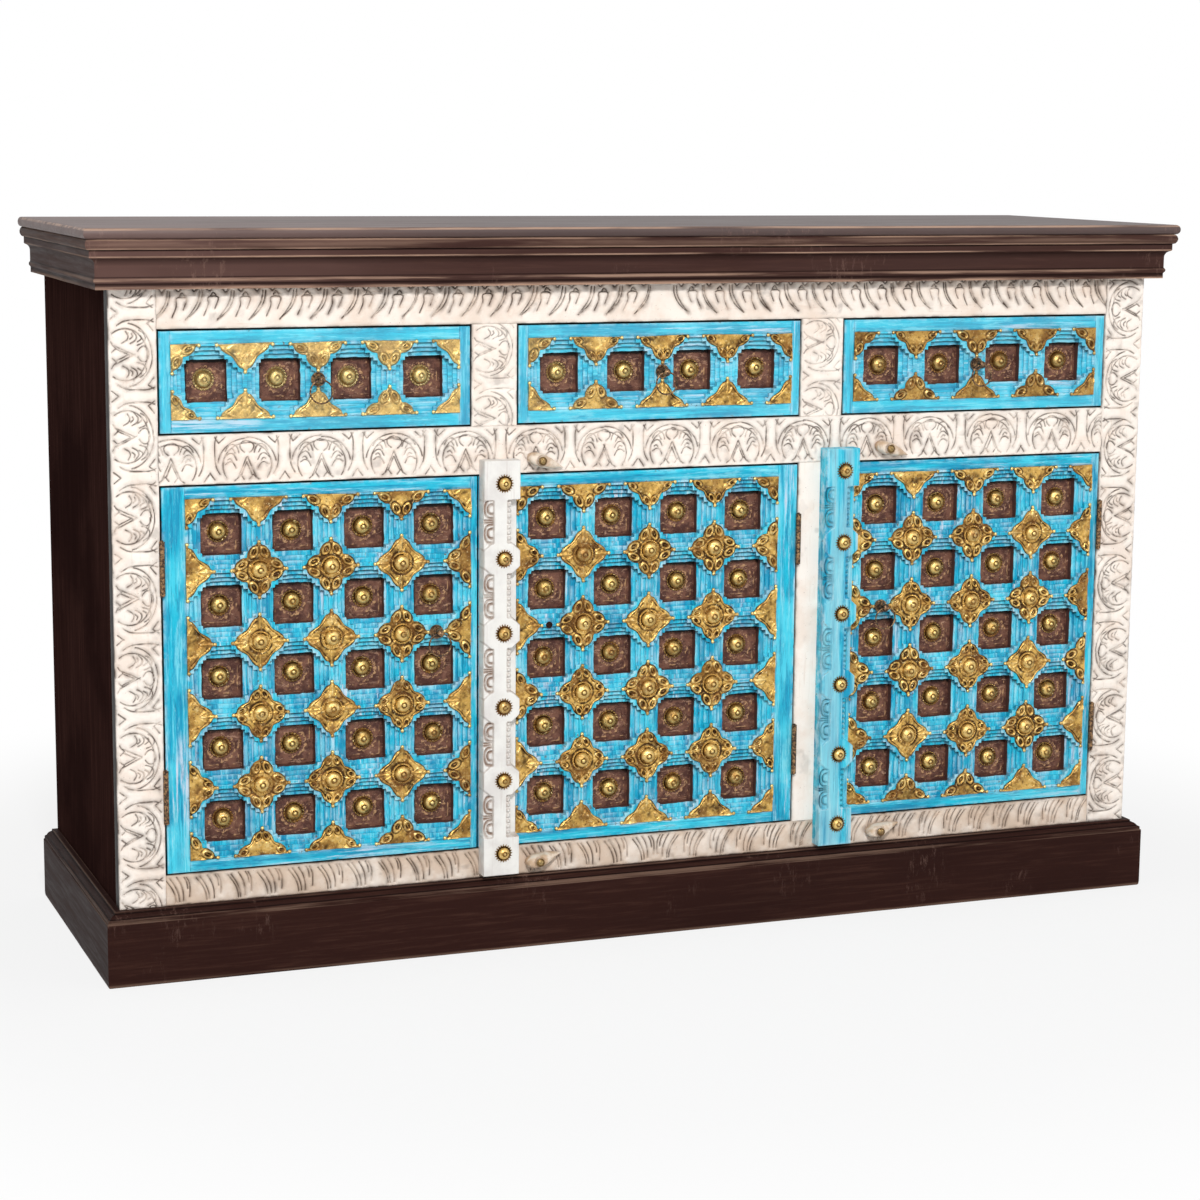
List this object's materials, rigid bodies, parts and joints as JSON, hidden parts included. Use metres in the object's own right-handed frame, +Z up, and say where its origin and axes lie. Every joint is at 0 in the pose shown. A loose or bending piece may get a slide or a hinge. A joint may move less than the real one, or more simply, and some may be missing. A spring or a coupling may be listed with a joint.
{
  "type": "carved sideboard cabinet",
  "caption": "Free-standing carved sideboard with drawers over latticed, brass-studded doors, on a plinth under a moulded top.",
  "frame": {"origin": "centre of the footprint at floor level", "axes": "+X to the viewer's right along the front, -Y out of the front, +Z up"},
  "size_m": [1.52, 0.474, 0.945],
  "materials": {
    "dark_wood": "dark espresso stain under worn satin wax",
    "inner_wood": "plain brown stained boards",
    "carved_whitewash": "cream wash with dark wax in the carving",
    "button_whitewash": "cream wash, rubbed",
    "white_paint": "brushed white paint",
    "turquoise_paint": "brushed turquoise paint with pale rubbed streaks",
    "recess_brown": "rough brown stain, scuffed",
    "aged_brass": "pressed brass sheet, aged",
    "dark_iron": "dark bronzed iron",
    "brass_screw": "bright brass"
  },
  "bodies": {
    "carcass": {"back_panel": "inner_wood", "bottom_board": "inner_wood", "bottom_rail": "carved_whitewash", "button_screws": "brass_screw", "cornice": "dark_wood", "door_stile": "carved_whitewash", "door_stops": "inner_wood", "drawer_runners": "inner_wood", "drawer_stiles": "carved_whitewash", "dust_board": "inner_wood", "hinge_frame_leaves": "dark_iron", "mid_rail": "carved_whitewash", "partition": "inner_wood", "plinth": "dark_wood", "plinth_cap": "dark_wood", "shelf_cleats": "inner_wood", "shelves": "inner_wood", "side_panel_left": "dark_wood", "side_panel_right": "dark_wood", "stile_left": "carved_whitewash", "stile_right": "carved_whitewash", "top_board": "dark_wood", "top_rail": "carved_whitewash"},
    "left_door": {"left_door_brass": "aged_brass", "left_door_front": "turquoise_paint", "left_door_hinge_leaves": "dark_iron", "left_door_panel": "recess_brown", "left_door_pull": "dark_iron"},
    "left_drawer": {"left_drawer_box": "inner_wood", "left_drawer_brass": "aged_brass", "left_drawer_front": "turquoise_paint", "left_drawer_pull": "dark_iron"},
    "middle_door": {"middle_door_batten": "white_paint", "middle_door_brass": "aged_brass", "middle_door_front": "turquoise_paint", "middle_door_hinge_leaves": "dark_iron", "middle_door_panel": "recess_brown"},
    "middle_drawer": {"middle_drawer_box": "inner_wood", "middle_drawer_brass": "aged_brass", "middle_drawer_front": "turquoise_paint", "middle_drawer_pull": "dark_iron"},
    "right_door": {"right_door_batten": "turquoise_paint", "right_door_brass": "aged_brass", "right_door_front": "turquoise_paint", "right_door_hinge_leaves": "dark_iron", "right_door_panel": "recess_brown", "right_door_pull": "dark_iron"},
    "right_drawer": {"right_drawer_box": "inner_wood", "right_drawer_brass": "aged_brass", "right_drawer_front": "turquoise_paint", "right_drawer_pull": "dark_iron"},
    "left_door_ring": {"left_door_ring": "dark_iron"},
    "left_drawer_ring": {"left_drawer_ring": "dark_iron"},
    "middle_drawer_ring": {"middle_drawer_ring": "dark_iron"},
    "right_door_ring": {"right_door_ring": "dark_iron"},
    "right_drawer_ring": {"right_drawer_ring": "dark_iron"},
    "turn_button_middle_lower": {"turn_button_middle_lower": "button_whitewash"},
    "turn_button_middle_upper": {"turn_button_middle_upper": "button_whitewash"},
    "turn_button_right_lower": {"turn_button_right_lower": "button_whitewash"},
    "turn_button_right_upper": {"turn_button_right_upper": "button_whitewash"}
  },
  "joints": [
    {"name": "left_door_hinge", "type": "hinge", "parent": "carcass", "child": "left_door", "pos_m": [-0.66575, -0.207, 0.3815], "axis": [0, 0, -1], "range_deg": [0, 105]},
    {"name": "middle_door_hinge", "type": "hinge", "parent": "carcass", "child": "middle_door", "pos_m": [0.19975, -0.207, 0.3815], "axis": [0, 0, 1], "range_deg": [0, 105]},
    {"name": "right_door_hinge", "type": "hinge", "parent": "carcass", "child": "right_door", "pos_m": [0.66575, -0.207, 0.3815], "axis": [0, 0, 1], "range_deg": [0, 105]},
    {"name": "left_drawer_slide", "type": "slide", "parent": "carcass", "child": "left_drawer", "axis": [0, -1, 0], "range_m": [0, 0.28]},
    {"name": "middle_drawer_slide", "type": "slide", "parent": "carcass", "child": "middle_drawer", "axis": [0, -1, 0], "range_m": [0, 0.28]},
    {"name": "right_drawer_slide", "type": "slide", "parent": "carcass", "child": "right_drawer", "axis": [0, -1, 0], "range_m": [0, 0.28]},
    {"name": "left_door_ring_swing", "type": "hinge", "parent": "left_door", "child": "left_door_ring", "pos_m": [-0.31, -0.22, 0.4275], "axis": [-1, 0, 0], "range_deg": [-15, 120]},
    {"name": "right_door_ring_swing", "type": "hinge", "parent": "right_door", "child": "right_door_ring", "pos_m": [0.3275, -0.22, 0.4275], "axis": [-1, 0, 0], "range_deg": [-15, 120]},
    {"name": "left_drawer_ring_swing", "type": "hinge", "parent": "left_drawer", "child": "left_drawer_ring", "pos_m": [-0.4645, -0.22, 0.75625], "axis": [-1, 0, 0], "range_deg": [-15, 120]},
    {"name": "middle_drawer_ring_swing", "type": "hinge", "parent": "middle_drawer", "child": "middle_drawer_ring", "pos_m": [0, -0.22, 0.75625], "axis": [-1, 0, 0], "range_deg": [-15, 120]},
    {"name": "right_drawer_ring_swing", "type": "hinge", "parent": "right_drawer", "child": "right_drawer_ring", "pos_m": [0.4645, -0.22, 0.75625], "axis": [-1, 0, 0], "range_deg": [-15, 120]},
    {"name": "turn_button_middle_upper_turn", "type": "hinge", "parent": "carcass", "child": "turn_button_middle_upper", "pos_m": [-0.173, -0.206, 0.646], "axis": [0, 1, 0], "range_deg": [-108, 82]},
    {"name": "turn_button_middle_lower_turn", "type": "hinge", "parent": "carcass", "child": "turn_button_middle_lower", "pos_m": [-0.173, -0.206, 0.114], "axis": [0, -1, 0], "range_deg": [-20, 88]},
    {"name": "turn_button_right_upper_turn", "type": "hinge", "parent": "carcass", "child": "turn_button_right_upper", "pos_m": [0.327, -0.206, 0.646], "axis": [0, 1, 0], "range_deg": [-108, 82]},
    {"name": "turn_button_right_lower_turn", "type": "hinge", "parent": "carcass", "child": "turn_button_right_lower", "pos_m": [0.327, -0.206, 0.114], "axis": [0, -1, 0], "range_deg": [-20, 88]}
  ]
}
